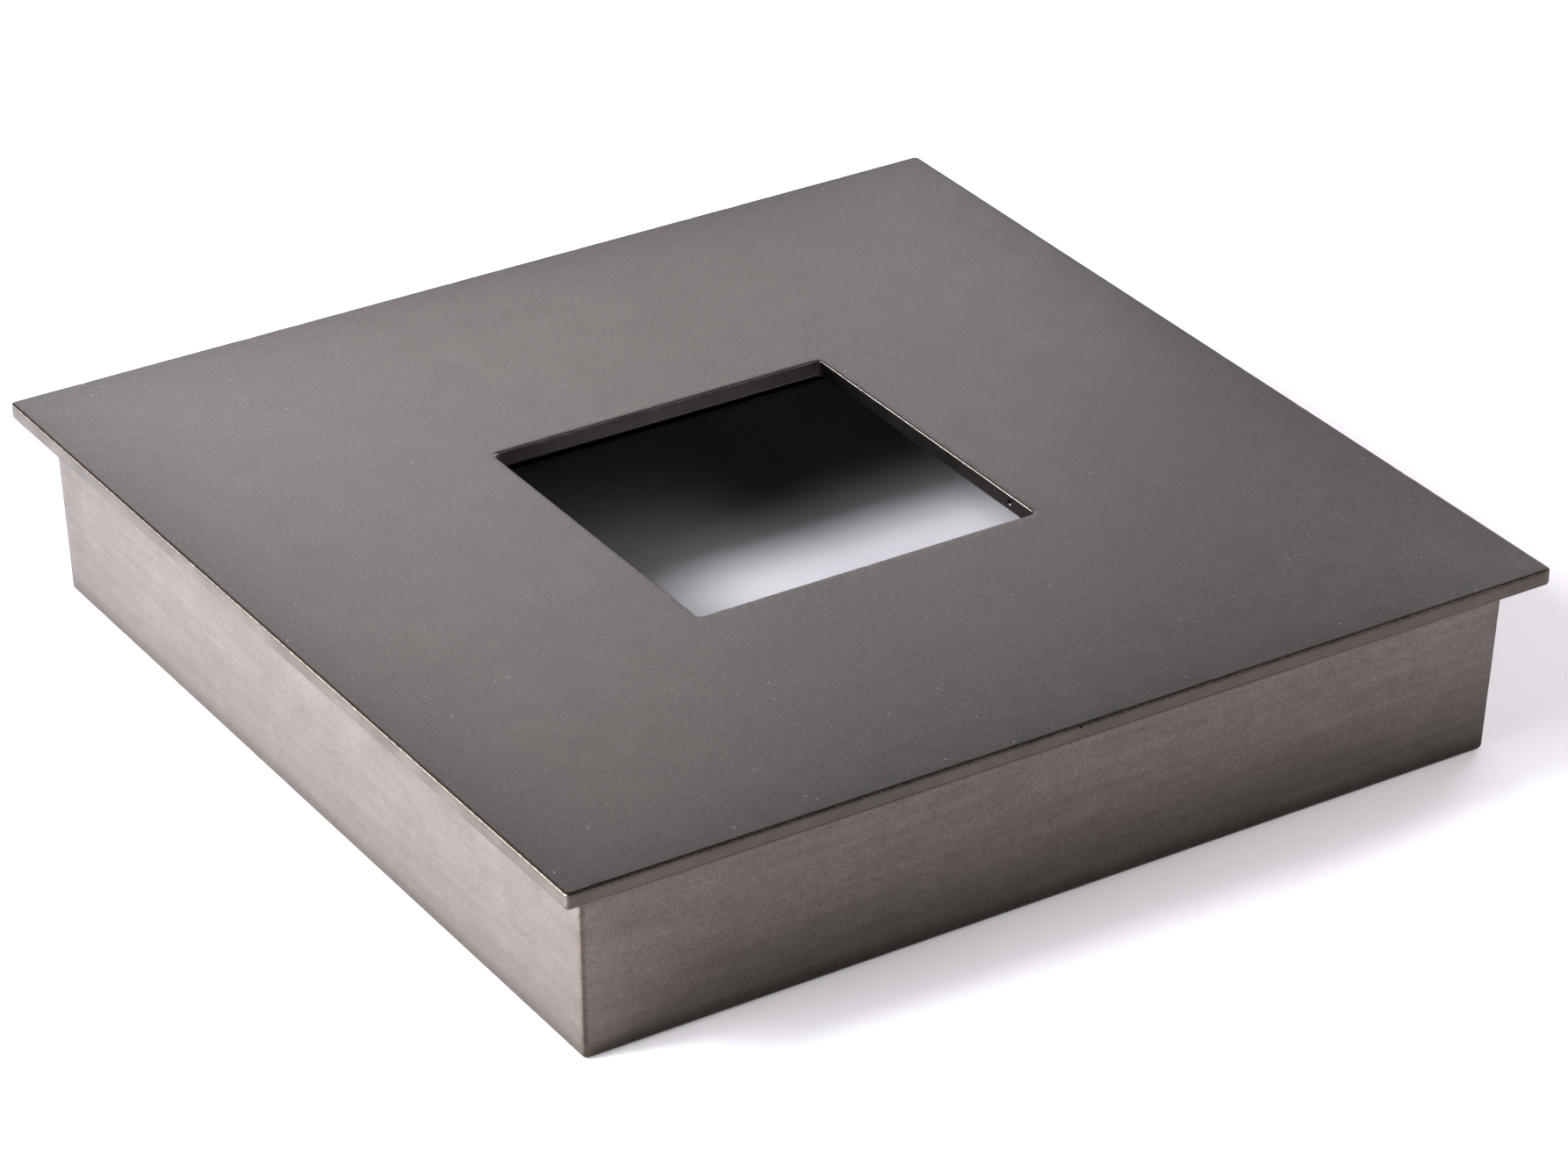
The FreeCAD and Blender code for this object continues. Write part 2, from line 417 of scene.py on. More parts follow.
def arris_nicks():
    """Small dents knocked into the upper arrises: (centre, radius, depth)."""
    nicks = []
    for _ in range(NICK_COUNT):
        half = random.choice((HALF_PLATE, HALF_PLATE, HALF_APERTURE))
        along = random.uniform(-NICK_REACH, NICK_REACH) * half
        turn = Matrix.Rotation(random.randrange(4) * math.pi / 2, 3, "Z")
        centre = turn @ Vector((along, -half, PLATE_TOP))
        nicks.append((centre, random.uniform(*NICK_RADIUS_MM) * MM, random.uniform(*NICK_DEPTH_MM) * MM))
    return nicks


def dent_depth(point, dents):
    depth = 0.0
    for centre, radius, deepest in dents:
        reach = (point - centre).length / radius
        if reach < 1:
            depth = max(depth, deepest * (1 - reach * reach) ** 2)
    return depth


def roughen(bm, dents):
    """Sink dents and the slow waves of a cast face into the metal; nothing moves outwards."""
    bm.normal_update()
    moves = []
    for vert in bm.verts:
        wave = 0.5 + 0.5 * noise.noise(vert.co / WAVE_SIZE)
        moves.append(vert.normal * -(WAVE_DEPTH * wave + dent_depth(vert.co, dents)))
    for vert, move in zip(bm.verts, moves):
        vert.co += move


def pit_shade(point, pit, radius):
    """1 in the dark of a pit, which lies above its middle, falling to 0 at its rim."""
    middle = pit + Vector((0, 0, PIT_SHADE_RISE * radius))
    return max(0.0, 1 - (point - middle).length / radius)


def build_plate(materials):
    bm = bmesh.new()
    arris_layer = bm.verts.layers.float.new("arris")
    sides = [station_fractions(side, HALF_PLATE, PLATE_SPACING) for side in range(4)]
    loops = []
    for place, inset, z, arris in plate_profile():
        loop = add_loop(bm, plate_outline(place, inset, z, sides))
        for vert in loop:
            vert[arris_layer] = arris
        loops.append(loop)
    join_in_turn(bm, loops, ring=True)
    pit_layer = bm.verts.layers.float.new("pit")
    for vert in bm.verts:
        vert[pit_layer] = max(pit_shade(vert.co, pit, radius) for pit, radius in PITS)
    dents = [(pit, radius, radius * PIT_DEPTH_RATIO) for pit, radius in PITS] + arris_nicks()
    bmesh.ops.recalc_face_normals(bm, faces=bm.faces)
    roughen(bm, dents)
    piece = finish_mesh(bm, "cast_flange_plate", materials)
    stand_in(piece, "flange_plate")


def drafted(half_top, z):
    """Half-width at height z of a face that leans in towards its foot."""
    return half_top - (PLATE_UNDERSIDE - z) * math.tan(math.radians(SKIRT_DRAFT_DEG))


def skirt_profile():
    """(outside, inset, z, arris) round a skirt wall's cross-section."""
    radius = SKIRT_EDGE_RADIUS
    height = PLATE_UNDERSIDE - radius
    inner_height = PLATE_UNDERSIDE - INNER_FOOT_CHAMFER
    profile = []
    for a in arc(0, 90, FOOT_STEPS):
        profile.append((True, radius * (1 - math.sin(a)), radius * (1 - math.cos(a)), FOOT_WEAR_AND_SHADE))
    for i in range(1, WALL_ROWS + 1):
        profile.append((True, 0.0, radius + height * i / WALL_ROWS, 0.0))
    for i in range(INNER_WALL_ROWS + 1):
        profile.append((False, 0.0, PLATE_UNDERSIDE - inner_height * i / INNER_WALL_ROWS, 0.0))
    profile.append((False, INNER_FOOT_CHAMFER, 0.0, INNER_FOOT_WEAR_AND_SHADE))
    return profile


def outer_row(half, radius, stations, corner_steps):
    """Points along the outside of the front wall, with half of each rounded corner."""
    straight = half - radius
    left = [(-straight + radius * math.cos(a), -straight + radius * math.sin(a))
            for a in arc(225, 270, corner_steps)[:-1]]
    middle = [(station * straight, -half) for station in stations]
    right = [(straight + radius * math.cos(a), -straight + radius * math.sin(a))
             for a in arc(270, 315, corner_steps)[1:]]
    return left + middle + right


def inner_row(half, stations, corner_steps):
    """As many points along the inside of the front wall, which has square corners."""
    spread = SKIRT_EDGE_RADIUS
    ends = [half - spread * (1 - i / corner_steps) for i in range(1, corner_steps + 1)]
    middle = [station * (half - spread) for station in stations]
    return [(x, -half) for x in [-end for end in reversed(ends)] + middle + ends]


def wall_row(outside, inset, z, stations, corner_steps=5):
    """One level line along the front wall, from mitre to mitre."""
    if outside:
        half = drafted(HALF_SKIRT_TOP, z) - inset
        points = outer_row(half, max(SKIRT_EDGE_RADIUS - inset, 0.0), stations, corner_steps)
    else:
        points = inner_row(drafted(HALF_SKIRT_INNER_TOP, z) + inset, stations, corner_steps)
    limits = [-y - MITRE_GAP for _, y in points]
    return [Vector((max(-limit, min(limit, x)), y, z)) for (x, y), limit in zip(points, limits)]


def build_skirt_wall(node, turn_deg, outer_material, inner_material):
    bm = bmesh.new()
    arris_layer = bm.verts.layers.float.new("arris")
    stations = [-1 + 2 * i / WALL_STATIONS for i in range(WALL_STATIONS + 1)]
    rows = []
    for outside, inset, z, arris in skirt_profile():
        row = add_loop(bm, wall_row(outside, inset, z, stations))
        for vert in row:
            # Near the rounded vertical corners the arris weight rises to 1, giving them painted shade and
            # patches of tan
            from_mitre = (abs(vert.co.y) - abs(vert.co.x)) / SKIRT_EDGE_RADIUS
            vert[arris_layer] = max(arris, 1 - from_mitre) if outside else arris
        rows.append((row, outside))
    for (first, outside), (second, also_outside) in zip(rows, rows[1:] + rows[:1]):
        join_loops(bm, first, second, closed=False, material_index=0 if outside and also_outside else 1)
    for end in (0, -1):
        bm.faces.new([row[end] for row, _ in rows])
    bmesh.ops.transform(bm, matrix=Matrix.Rotation(math.radians(turn_deg), 4, "Z"), verts=bm.verts)
    bmesh.ops.recalc_face_normals(bm, faces=bm.faces)
    piece = finish_mesh(bm, "cast_" + node, [outer_material, inner_material])
    stand_in(piece, node)


# ---------------------------------------------------------------- blocks and fasteners

def thread_dip(turn, z, pitch):
    """How far a thread has sunk from crest, 0, to root, 1, at an angle and a height."""
    phase = (z / pitch + turn / (2 * math.pi)) % 1
    return min(1.0, max(0.0, (abs(2 * phase - 1) - THREAD_CREST) / THREAD_FLANK))


def threaded_bore(bm, centre, radius, z_low, z_high, pitch, depth, count):
    """Loops of an internal thread that grows from nothing at its mouth."""
    rows = max(2, round((z_high - z_low) / pitch * ROWS_PER_PITCH))
    turns = full_turn(count)
    loops = []
    for row in range(rows + 1):
        z = z_low + (z_high - z_low) * row / rows
        fade = min(1.0, row / ROWS_PER_PITCH, (rows - row) / ROWS_PER_PITCH)
        radii = [radius + depth * fade * (1 - thread_dip(turn, z, pitch)) for turn in turns]
        loops.append(add_loop(bm, turned_points(centre, radii, turns, z)))
    join_in_turn(bm, loops)
    return loops[0], loops[-1]


def block_outline(z, shrink):
    """Plan of the rear right block at height z, drawn in by shrink, with its corners eased."""
    low = BLOCK_INNER + shrink
    high = drafted(HALF_SKIRT_INNER_TOP, z) - BLOCK_CLEARANCE - shrink
    cut = low + BLOCK_CHAMFER
    places = [(cut, low), (high, low), (high, high), (low, high), (low, cut)]
    corners = [Vector(place) for place in places]
    points = []
    for i, corner in enumerate(corners):
        before = (corners[i - 1] - corner).normalized()
        after = (corners[(i + 1) % len(corners)] - corner).normalized()
        for t in (0.0, 0.25, 0.5, 0.75, 1.0):
            pull = before * (1 - t) ** 2 + after * t ** 2
            points.append(corner + pull * BLOCK_EDGE)
    return [Vector((point.x, point.y, z)) for point in points]


def fill_between(bm, outline, holes):
    """Flat face inside an outline, with round holes in it."""
    edges = []
    for loop in [outline] + holes:
        for i, vert in enumerate(loop):
            pair = (vert, loop[(i + 1) % len(loop)])
            edges.append(bm.edges.get(pair) or bm.edges.new(pair))
    bmesh.ops.triangle_fill(bm, edges=edges, use_beauty=True)


def block_rows():
    """(height, shrink) up a block, with eased edges at its top and bottom."""
    bend = BLOCK_BEND_SHARE * BLOCK_EDGE
    steps = [(0.0, BLOCK_EDGE), (bend, bend), (BLOCK_EDGE, 0.0)]
    lower = [(BLOCK_BOTTOM + rise, shrink) for rise, shrink in steps]
    upper = [(PLATE_UNDERSIDE - rise, shrink) for rise, shrink in reversed(steps)]
    return lower + upper


def stud_hole(bm):
    """Plain hole right through the block: (mouth at the bottom, mouth at the top)."""
    centre = (STUD_POS, STUD_POS)
    profile = [
        (STUD_HOLE_RADIUS + HOLE_LIP, BLOCK_BOTTOM),
        (STUD_HOLE_RADIUS, BLOCK_BOTTOM + HOLE_LIP),
        (STUD_HOLE_RADIUS, PLATE_UNDERSIDE - HOLE_LIP),
        (STUD_HOLE_RADIUS + HOLE_LIP, PLATE_UNDERSIDE),
    ]
    loops = [add_loop(bm, circle(centre, radius, z, BORE_STEPS)) for radius, z in profile]
    join_in_turn(bm, loops)
    return loops[0], loops[-1]


def screw_hole(bm):
    """Blind threaded hole with a drill point at its end; gives its mouth."""
    centre = (SCREW_HOLE_POS, SCREW_HOLE_POS)
    mouth = add_loop(bm, circle(centre, SCREW_HOLE_RADIUS + HOLE_LIP, BLOCK_BOTTOM, BORE_STEPS))
    end = BLOCK_BOTTOM + SCREW_HOLE_DEPTH
    point_height = SCREW_HOLE_RADIUS / math.tan(math.radians(DRILL_POINT_DEG / 2))
    first, last = threaded_bore(bm, centre, SCREW_HOLE_RADIUS, BLOCK_BOTTOM + HOLE_LIP, end - point_height,
                                SCREW_PITCH, SCREW_THREAD_DEPTH, BORE_STEPS)
    join_loops(bm, mouth, first)
    tip = bm.verts.new((*centre, end))
    for i, vert in enumerate(last):
        bm.faces.new((vert, last[(i + 1) % BORE_STEPS], tip))
    return mouth


def build_corner_block(corner, signs, material):
    bm = bmesh.new()
    loops = [add_loop(bm, block_outline(z, shrink)) for z, shrink in block_rows()]
    join_in_turn(bm, loops)
    stud_bottom, stud_top = stud_hole(bm)
    screw_mouth = screw_hole(bm)
    fill_between(bm, loops[0], [screw_mouth, stud_bottom])
    fill_between(bm, loops[-1], [stud_top])
    mirror(bm, bm.verts, signs)
    piece = finish_mesh(bm, "brass_block_" + corner, [material])
    stand_in(piece, "corner_block_" + corner)


def stud_radius(turn, z):
    """Outside of the weld stud at an angle and a height."""
    if z > PLATE_UNDERSIDE - STUD_FLANGE_HEIGHT:
        return STUD_FLANGE_RADIUS
    above_tip = z - STUD_TIP
    below_flange = PLATE_UNDERSIDE - STUD_FLANGE_HEIGHT - z
    fade = min(1.0, below_flange / STUD_PITCH)
    threaded = STUD_RADIUS - STUD_THREAD_DEPTH * fade * thread_dip(turn, z, STUD_PITCH)
    return min(threaded, STUD_RADIUS - STUD_TIP_CHAMFER + above_tip)


def build_stud(bm):
    length = PLATE_UNDERSIDE - STUD_TIP
    rows = round(length / STUD_PITCH * ROWS_PER_PITCH)
    turns = full_turn(STUD_STEPS)
    loops = []
    for row in range(rows + 1):
        z = STUD_TIP + length * row / rows
        radii = [stud_radius(turn, z) for turn in turns]
        loops.append(add_loop(bm, turned_points((STUD_POS, STUD_POS), radii, turns, z)))
    join_in_turn(bm, loops)
    bm.faces.new(loops[0])
    bm.faces.new(loops[-1])


def build_washer(bm):
    """A stamped washer: rolled over at its lower edges, square at its upper ones."""
    radius = WASHER_HIGH.x - STUD_POS
    profile = [(WASHER_BORE, WASHER_HIGH.z), (radius, WASHER_HIGH.z)]
    for a in arc(0, 90, WASHER_EDGE_STEPS):
        r = radius - WASHER_EDGE * (1 - math.cos(a))
        profile.append((r, WASHER_LOW.z + WASHER_EDGE * (1 - math.sin(a))))
    for a in arc(0, 90, WASHER_EDGE_STEPS):
        r = WASHER_BORE + WASHER_EDGE * (1 - math.sin(a))
        profile.append((r, WASHER_LOW.z + WASHER_EDGE * (1 - math.cos(a))))
    loops = [add_loop(bm, circle((STUD_POS, STUD_POS), r, z, WASHER_STEPS)) for r, z in profile]
    join_in_turn(bm, loops, ring=True)


def nut_hexagon(bm, centre, turns, z_end, side):
    """Loop where a nut's turned-off corners meet its flats; side is 1 at its top and -1 at its bottom."""
    radii = []
    for turn in turns:
        across = (turn - math.radians(NUT_TURN_DEG)) % math.radians(60) - math.radians(30)
        radii.append(NUT_HALF_FLATS / math.cos(across))
    points = turned_points(centre, radii, turns, z_end)
    for point, r in zip(points, radii):
        point.z -= side * (r - NUT_SHOULDER) * math.tan(math.radians(NUT_CHAMFER_DEG))
    return add_loop(bm, points)


def build_nut(bm):
    """Hexagon nut with turned-off corners and a thread that follows the stud's."""
    centre = (STUD_POS, STUD_POS)
    low, high = NUT_LOW.z, NUT_HIGH.z
    turns = full_turn(NUT_STEPS)
    bore = STUD_RADIUS + THREAD_CLEARANCE
    rows = round((high - low) / STUD_PITCH * ROWS_PER_PITCH)
    loops = [add_loop(bm, circle(centre, bore + NUT_MOUTH, low, NUT_STEPS))]
    for row in range(1, rows):
        z = low + (high - low) * row / rows
        radii = [min(bore, stud_radius(turn, z) + THREAD_CLEARANCE) for turn in turns]
        loops.append(add_loop(bm, turned_points(centre, radii, turns, z)))
    loops.append(add_loop(bm, circle(centre, bore + NUT_MOUTH, high, NUT_STEPS)))
    loops.append(add_loop(bm, circle(centre, NUT_SHOULDER, high, NUT_STEPS)))
    loops.append(nut_hexagon(bm, centre, turns, high, 1))
    loops.append(nut_hexagon(bm, centre, turns, low, -1))
    loops.append(add_loop(bm, circle(centre, NUT_SHOULDER, low, NUT_STEPS)))
    join_in_turn(bm, loops, ring=True)


def build_at_corners(build, name, node, material, sharp_deg):
    """One piece that holds the same fastener at all four corners."""
    bm = bmesh.new()
    for signs in CORNERS.values():
        before = set(bm.verts)
        build(bm)
        new = [vert for vert in bm.verts if vert not in before]
        mirror(bm, new, signs)
    piece = finish_mesh(bm, name, [material], sharp_deg)
    stand_in(piece, node)


# ---------------------------------------------------------------- materials

class Nodes:
    """Short ways to add and link the nodes of one material."""

    def __init__(self, name):
        self.material = bpy.data.materials.new(name)
        self.material.use_nodes = True
        self.tree = self.material.node_tree
        self.shader = self.tree.nodes["Principled BSDF"]
        self.place = self.tree.nodes.new("ShaderNodeTexCoord").outputs["Object"]

    def add(self, kind, **settings):
        node = self.tree.nodes.new(kind)
        for key, value in settings.items():
            setattr(node, key, value)
        return node

    def link(self, output, socket):
        self.tree.links.new(output, socket)

    def feed(self, socket, value):
        """Link an output to a socket, or set a plain number on it."""
        if isinstance(value, bpy.types.NodeSocket):
            self.link(value, socket)
        else:
            socket.default_value = value

    def stretched(self, scale, turn_deg=0.0):
        """Object coordinates that stretch a pattern by a factor along each axis of a turned frame."""
        mapping = self.add("ShaderNodeMapping", vector_type="TEXTURE")
        mapping.inputs["Rotation"].default_value = (0.0, 0.0, math.radians(turn_deg))
        mapping.inputs["Scale"].default_value = scale
        self.link(self.place, mapping.inputs["Vector"])
        return mapping.outputs["Vector"]

    def noise(self, size, detail=2.0, rough=0.5, vector=None):
        """Noise whose features are about size metres across."""
        node = self.add("ShaderNodeTexNoise")
        node.inputs["Scale"].default_value = 1 / size
        node.inputs["Detail"].default_value = detail
        node.inputs["Roughness"].default_value = rough
        self.link(vector or self.place, node.inputs["Vector"])
        return node.outputs["Fac"]

    def cells(self, size, vector=None):
        """Level Voronoi cells of about size metres: (distance to the centre, random value of the cell)."""
        node = self.add("ShaderNodeTexVoronoi", voronoi_dimensions="2D")
        node.inputs["Scale"].default_value = 1 / size
        self.link(vector or self.place, node.inputs["Vector"])
        split = self.add("ShaderNodeSeparateColor")
        self.link(node.outputs["Color"], split.inputs["Color"])
        return node.outputs["Distance"], split.outputs["Red"]

    def remap(self, value, low, high, to_low=0.0, to_high=1.0):
        node = self.add("ShaderNodeMapRange")
        self.link(value, node.inputs["Value"])
        limits = {"From Min": low, "From Max": high, "To Min": to_low, "To Max": to_high}
        for socket, number in limits.items():
            node.inputs[socket].default_value = number
        return node.outputs["Result"]

    def math(self, operation, first, second=0.0):
        node = self.add("ShaderNodeMath", operation=operation)
        self.feed(node.inputs[0], first)
        self.feed(node.inputs[1], second)
        return node.outputs["Value"]

    def mix(self, factor, first, second, blend="MIX"):
        """Mix two colours; each is an output or an RGB tuple."""
        node = self.add("ShaderNodeMix", data_type="RGBA", blend_type=blend)
        self.feed(node.inputs["Factor"], factor)
        for socket, colour in ((node.inputs[6], first), (node.inputs[7], second)):
            plain = not isinstance(colour, bpy.types.NodeSocket)
            self.feed(socket, (*colour, 1.0) if plain else colour)
        return node.outputs[2]

    def scaled(self, colour, factor):
        """A colour times a number."""
        node = self.add("ShaderNodeVectorMath", operation="SCALE")
        self.link(colour, node.inputs[0])
        self.link(factor, node.inputs["Scale"])
        return node.outputs["Vector"]

    def rim_distance(self):
        """Distance from the plate's rim, measured inwards."""
        split = self.add("ShaderNodeSeparateXYZ")
        self.link(self.place, split.inputs["Vector"])
        across = self.math("ABSOLUTE", split.outputs["X"])
        along = self.math("ABSOLUTE", split.outputs["Y"])
        return self.math("SUBTRACT", HALF_PLATE, self.math("MAXIMUM", across, along))

    def height(self):
        split = self.add("ShaderNodeSeparateXYZ")
        self.link(self.place, split.inputs["Vector"])
        return split.outputs["Z"]

    def attribute(self, name):
        return self.add("ShaderNodeAttribute", attribute_name=name).outputs["Fac"]

    def bump(self, height, strength, distance, normal=None):
        node = self.add("ShaderNodeBump")
        node.inputs["Strength"].default_value = strength
        node.inputs["Distance"].default_value = distance
        self.link(height, node.inputs["Height"])
        if normal:
            self.link(normal, node.inputs["Normal"])
        return node.outputs["Normal"]


def dust_mask(n):
    """Sparse specks of dust and a few short fibres lying on the top."""
    speck, chance = n.cells(SPECK_SPACING)
    reach = n.math("MULTIPLY", chance, SPECK_RADIUS / SPECK_SPACING)
    mask = n.math("LESS_THAN", speck, reach)
    for turn_deg, share in FIBRES:
        fibre, chance = n.cells(FIBRE_SPACING, n.stretched((FIBRE_STRETCH, 1.0, 1.0), turn_deg))
        hits = n.math("LESS_THAN", fibre, FIBRE_RADIUS / FIBRE_SPACING)
        mask = n.math("MAXIMUM", mask, n.math("MULTIPLY", hits, n.math("LESS_THAN", chance, share)))
    return mask


def patinated_brass(name, walls):
    """Dark warm-grey patina, wiped to a satin sheen, darker along the rim and worn tan on its arrises; the
    arrises also get painted shade, and the walls painted light that turns to painted shade towards the foot.
    """
    n = Nodes(name)
    grain = n.noise(0.32 * MM, detail=3.0, rough=0.6, vector=n.stretched(WIPE_STRETCH, WIPE_TURN_DEG))
    mottle = n.noise(7.0 * MM, detail=4.0, rough=0.6)
    cloud = n.noise(45.0 * MM, detail=2.0)
    spread = WALL_MOTTLE_SPREAD if walls else PLATE_MOTTLE_SPREAD
    colour = n.mix(n.remap(mottle, 0.3, 0.7, 0.5 - spread, 0.5 + spread), PATINA_DARK, PATINA_LIGHT)
    colour = n.mix(n.remap(cloud, 0.35, 0.65, 0.0, 0.7 * spread), colour, PATINA_WARM)
    if walls:
        streak = n.noise(1.6 * MM, detail=3.0, vector=n.stretched(WALL_STREAK_STRETCH))
        colour = n.scaled(colour, n.remap(streak, 0.3, 0.7, 0.93, 1.07))
        blotch = n.noise(2.2 * MM, detail=3.0, rough=0.6)
        colour = n.scaled(colour, n.remap(blotch, 0.3, 0.7, 0.96, 1.04))
        # Painted light and shade: the walls' colour is lifted overall and painted darker towards the foot,
        # standing in for the shade near the floor
        foot = n.math("EXPONENT", n.math("DIVIDE", n.height(), -FOOT_SHADE_REACH))
        colour = n.scaled(colour, n.math("SUBTRACT", WALL_PAINTED_LIGHT_LEVEL, n.math("MULTIPLY", foot, FOOT_PAINTED_SHADE)))
        colour = n.mix(1.0, colour, WALL_TINT, "MULTIPLY")
        colour = n.scaled(colour, n.remap(grain, 0.3, 0.7, 1 - WALL_GRAIN_CONTRAST, 1 + WALL_GRAIN_CONTRAST))
    else:
        rim = n.math("EXPONENT", n.math("DIVIDE", n.rim_distance(), -RIM_REACH))
        edge_colour = n.mix(1.0, colour, EDGE_TINT, "MULTIPLY")
        colour = n.scaled(colour, n.math("SUBTRACT", 1.0, n.math("MULTIPLY", rim, RIM_DARKENING)))
        on_edge = n.remap(n.height(), PLATE_TOP - 1.0 * MM, PLATE_TOP - 0.5 * MM, 1.0, 0.0)
        grained = n.scaled(colour, n.remap(grain, 0.3, 0.7, 1 - GRAIN_CONTRAST, 1 + GRAIN_CONTRAST))
        colour = n.mix(n.math("MULTIPLY", on_edge, EDGE_TINT_COVER), grained, edge_colour)
    arris = n.attribute("arris")
    worn = n.math("MULTIPLY", arris, n.remap(n.noise(0.9 * MM, detail=4.0, rough=0.7), 0.42, 0.6))
    # Painted shade on the arrises, darkened to hold back the lamps' highlight; then patches worn tan
    colour = n.mix(n.math("MULTIPLY", arris, ARRIS_SHADE_COVER), colour, ARRIS_PAINTED_SHADE)
    colour = n.mix(n.math("MULTIPLY", worn, RUB_COVER), colour, ARRIS_RUB)
    # Painted shade inside the pits: their upper part is painted near black
    colour = n.mix(n.remap(n.attribute("pit"), 0.0, PIT_SHADE_REACH), colour, PIT_PAINTED_SHADE)
    on_top = n.math("GREATER_THAN", n.height(), PLATE_TOP - DUST_LAYER)
    dust = n.math("MULTIPLY", dust_mask(n), on_top)
    n.link(n.mix(dust, colour, DUST), n.shader.inputs["Base Color"])
    n.link(n.math("SUBTRACT", 1.0, dust), n.shader.inputs["Metallic"])
    spread = WALL_ROUGH_SPREAD if walls else PLATE_ROUGH_SPREAD
    rough = n.math("ADD", n.remap(mottle, 0.3, 0.7, PATINA_ROUGH - spread, PATINA_ROUGH + spread),
                   n.remap(grain, 0.3, 0.7, -0.02, 0.02))
    rough = n.math("ADD", rough, n.math("MULTIPLY", arris, ARRIS_ROUGHENING))
    n.link(n.math("ADD", rough, n.math("MULTIPLY", dust, 0.5)), n.shader.inputs["Roughness"])
    normal = n.bump(grain, 0.25, 0.05 * MM)
    if not walls:
        normal = n.bump(mottle, 0.05, 0.2 * MM, normal)
    n.link(normal, n.shader.inputs["Normal"])
    return n.material


def as_cast_inside():
    """The unfinished inside of the skirt: rougher, browner, with sand texture."""
    n = Nodes("as_cast_inside")
    sand = n.noise(0.8 * MM, detail=5.0, rough=0.65)
    stain = n.noise(14.0 * MM, detail=4.0, rough=0.6)
    colour = n.mix(n.remap(stain, 0.35, 0.65), CAST_DARK, CAST_STAIN)
    n.link(n.mix(n.remap(sand, 0.55, 0.75, 0.0, 0.4), colour, CAST_GRIT), n.shader.inputs["Base Color"])
    n.shader.inputs["Metallic"].default_value = 1.0
    n.link(n.remap(sand, 0.3, 0.7, 0.5, 0.72), n.shader.inputs["Roughness"])
    n.link(n.bump(sand, 0.5, 0.15 * MM), n.shader.inputs["Normal"])
    return n.material


def raw_brass(name, mark_size):
    """Bright machined brass with fine tool marks and a little tarnish."""
    n = Nodes(name)
    marks = n.noise(mark_size, detail=3.0, vector=n.stretched((1.0, 16.0, 1.0)))
    tarnish = n.noise(5.0 * MM, detail=5.0, rough=0.65)
    colour = n.mix(n.remap(tarnish, 0.45, 0.72, 0.0, 0.8), BRASS_BRIGHT, BRASS_TARNISH)
    n.link(n.mix(n.remap(marks, 0.35, 0.65, 0.0, 0.25), colour, BRASS_MARKS), n.shader.inputs["Base Color"])
    n.shader.inputs["Metallic"].default_value = 1.0
    n.link(n.remap(tarnish, 0.4, 0.7, 0.24, 0.42), n.shader.inputs["Roughness"])
    n.link(n.bump(marks, 0.25, 0.04 * MM), n.shader.inputs["Normal"])
    return n.material


def stainless_steel():
    """Cold-formed stainless steel: pale grey, lightly brushed, with faint water spots."""
    n = Nodes("cold_formed_stainless")
    brush = n.noise(0.25 * MM, detail=3.0, vector=n.stretched((5.0, 1.0, 1.0)))
    spots = n.noise(1.8 * MM, detail=4.0, rough=0.6)
    colour = n.mix(n.remap(spots, 0.4, 0.7), STEEL_PALE, STEEL_SPOT)
    n.link(colour, n.shader.inputs["Base Color"])
    n.shader.inputs["Metallic"].default_value = 1.0
    n.link(n.remap(brush, 0.3, 0.7, 0.22, 0.4), n.shader.inputs["Roughness"])
    n.link(n.bump(brush, 0.2, 0.02 * MM), n.shader.inputs["Normal"])
    return n.material


# ---------------------------------------------------------------- stage

def add_camera():
    data = bpy.data.cameras.new("camera")
    data.sensor_width = 36.0
    data.lens = CAMERA_LENS_MM
    data.clip_start = 0.01
    data.clip_end = 20.0
    camera = bpy.data.objects.new("camera", data)
    camera.location = CAMERA_POSITION
    aim = (CAMERA_AIM - CAMERA_POSITION).to_track_quat("-Z", "Y")
    roll = Quaternion((0, 0, 1), math.radians(CAMERA_ROLL_DEG))
    camera.rotation_mode = "QUATERNION"
    camera.rotation_quaternion = aim @ roll
    bpy.context.scene.collection.objects.link(camera)
    bpy.context.scene.camera = camera


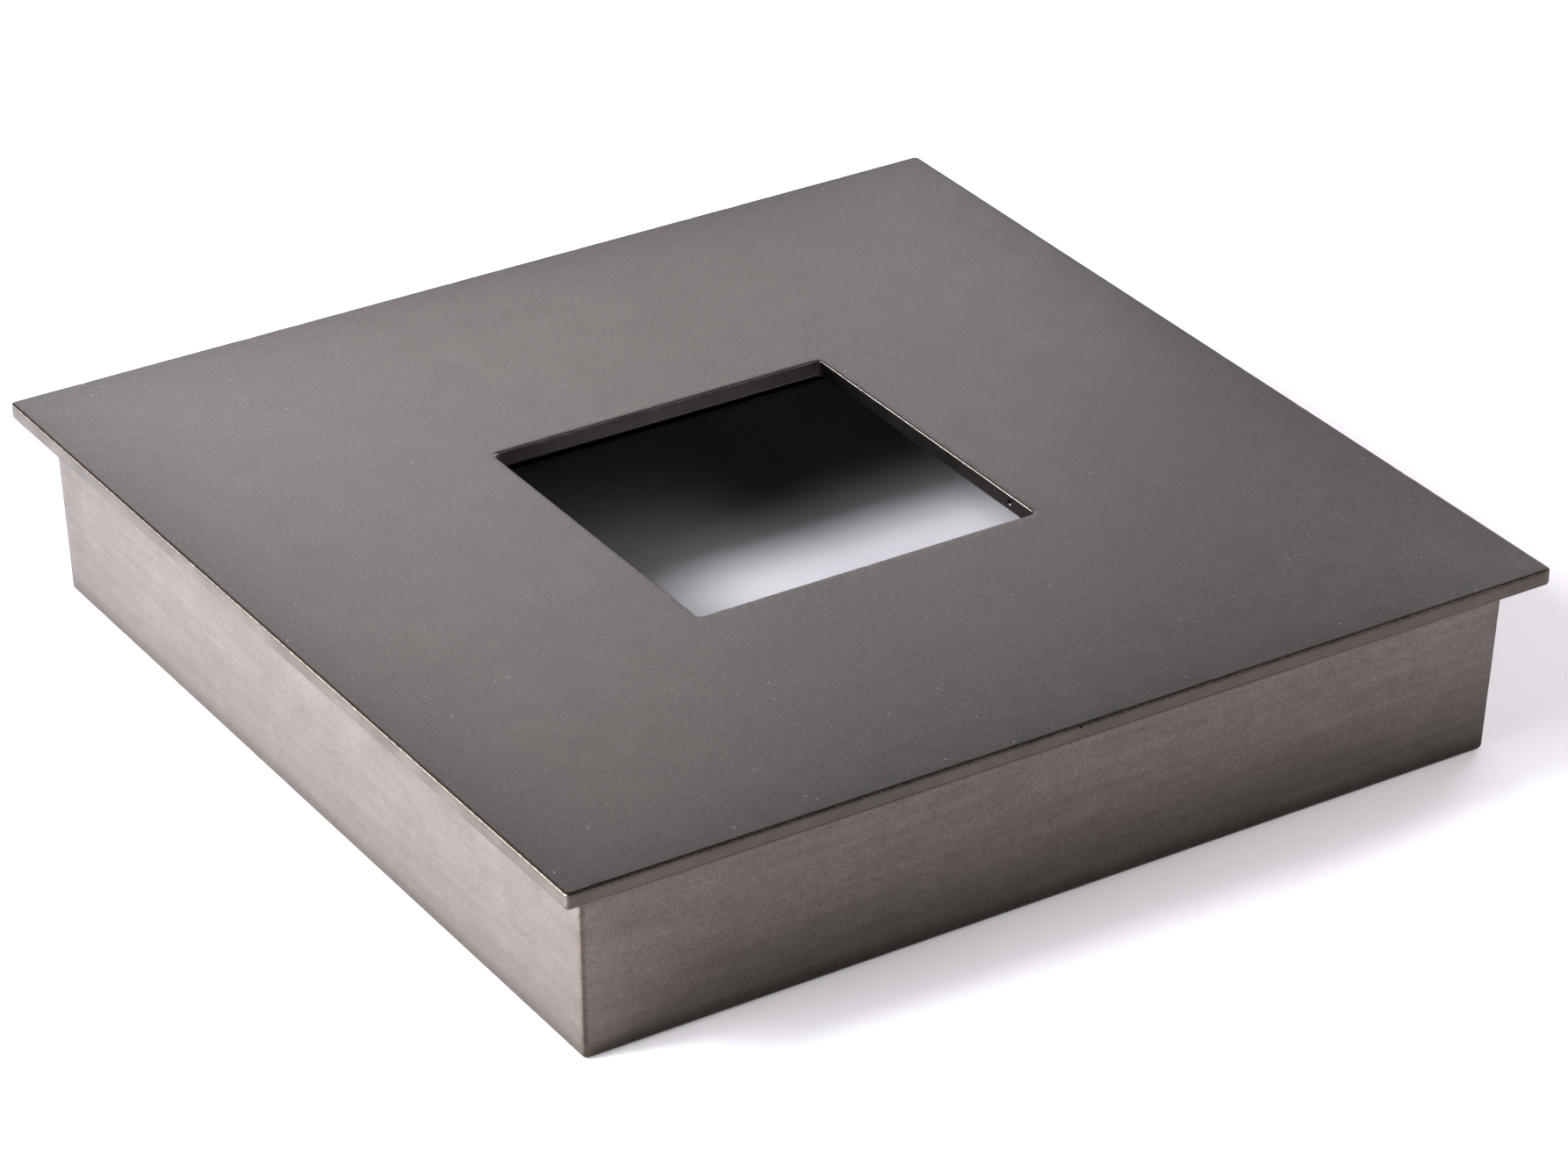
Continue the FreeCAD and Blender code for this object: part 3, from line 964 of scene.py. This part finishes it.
def add_floor():
    half = FLOOR_HALF
    corners = [(-half, -half, 0), (half, -half, 0), (half, half, 0), (-half, half, 0)]
    mesh = bpy.data.meshes.new("floor")
    mesh.from_pydata(corners, [], [(0, 1, 2, 3)])
    floor = bpy.data.objects.new("floor", mesh)
    bpy.context.scene.collection.objects.link(floor)
    material = bpy.data.materials.new("floor")
    material.use_nodes = True
    shader = material.node_tree.nodes["Principled BSDF"]
    shader.inputs["Base Color"].default_value = (*FLOOR_COLOUR, 1)
    shader.inputs["Roughness"].default_value = FLOOR_ROUGH
    shader.inputs["Specular IOR Level"].default_value = FLOOR_SHEEN
    mesh.materials.append(material)


def add_light(name, bearing, rise, distance, width, height, watts, colour):
    bearing = math.radians(bearing)
    rise = math.radians(rise)
    level = math.cos(rise)
    out = Vector((math.sin(bearing) * level, -math.cos(bearing) * level, math.sin(rise)))
    data = bpy.data.lights.new(name, "AREA")
    data.shape = "RECTANGLE"
    data.size = width
    data.size_y = height
    data.energy = watts
    data.color = colour
    light = bpy.data.objects.new(name, data)
    light.location = LIGHT_TARGET + out * distance
    light.rotation_mode = "QUATERNION"
    light.rotation_quaternion = (-out).to_track_quat("-Z", "Y")
    bpy.context.scene.collection.objects.link(light)


def add_world(strength):
    world = bpy.data.worlds.new("studio")
    world.use_nodes = True
    world.node_tree.nodes["Background"].inputs["Color"].default_value = (1, 1, 1, 1)
    world.node_tree.nodes["Background"].inputs["Strength"].default_value = strength
    bpy.context.scene.world = world


patina_plate = patinated_brass("patinated_brass_plate", walls=False)
patina_walls = patinated_brass("patinated_brass_walls", walls=True)
inside = as_cast_inside()
milled = raw_brass("milled_brass", BLOCK_MARK_SIZE)
turned = raw_brass("rolled_brass", STUD_MARK_SIZE)
steel = stainless_steel()

build_plate([patina_plate])
for node, turn_deg in SIDE_TURNS.items():
    build_skirt_wall(node, turn_deg, patina_walls, inside)
for corner, signs in CORNERS.items():
    build_corner_block(corner, signs, milled)
build_at_corners(build_stud, "threaded_studs", "plate_studs", turned, 40.0)
build_at_corners(build_washer, "stamped_washers", "stud_washers", steel, 32.0)
build_at_corners(build_nut, "hexagon_nuts", "stud_nuts", steel, 20.0)

add_camera()
add_floor()
for light in LIGHTS:
    add_light(*light)
add_world(0.0)
bpy.context.scene.view_settings.view_transform = "Standard"
bpy.context.scene.view_settings.gamma = 1 / VIEW_CONTRAST
